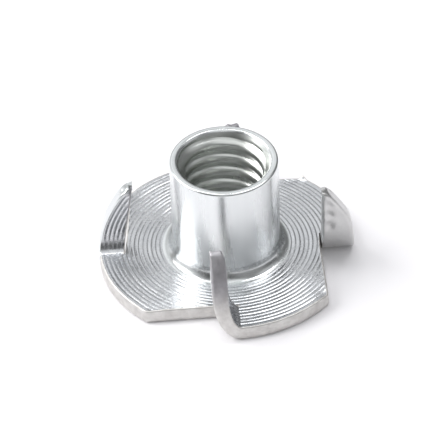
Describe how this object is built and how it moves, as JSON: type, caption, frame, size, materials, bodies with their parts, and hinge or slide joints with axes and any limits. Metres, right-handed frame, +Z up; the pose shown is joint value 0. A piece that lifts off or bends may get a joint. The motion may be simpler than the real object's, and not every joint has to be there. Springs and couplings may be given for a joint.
{
  "type": "tee nut",
  "caption": "Pronged tee nut pressed from sheet steel: a threaded barrel on a round flange whose slit edges fold up into prongs that bite into timber.",
  "frame": {"origin": "centre of the flange's underside, on the barrel's axis", "axes": "+Z up along the barrel to its rim; one prong on each of +X, +Y, -X and -Y"},
  "size_m": [0.0222, 0.0222, 0.0108],
  "materials": {
    "zinc_plated_steel": "bright zinc plate over pressed steel"
  },
  "bodies": {
    "root": {"tee_nut": "zinc_plated_steel"}
  },
  "joints": []
}
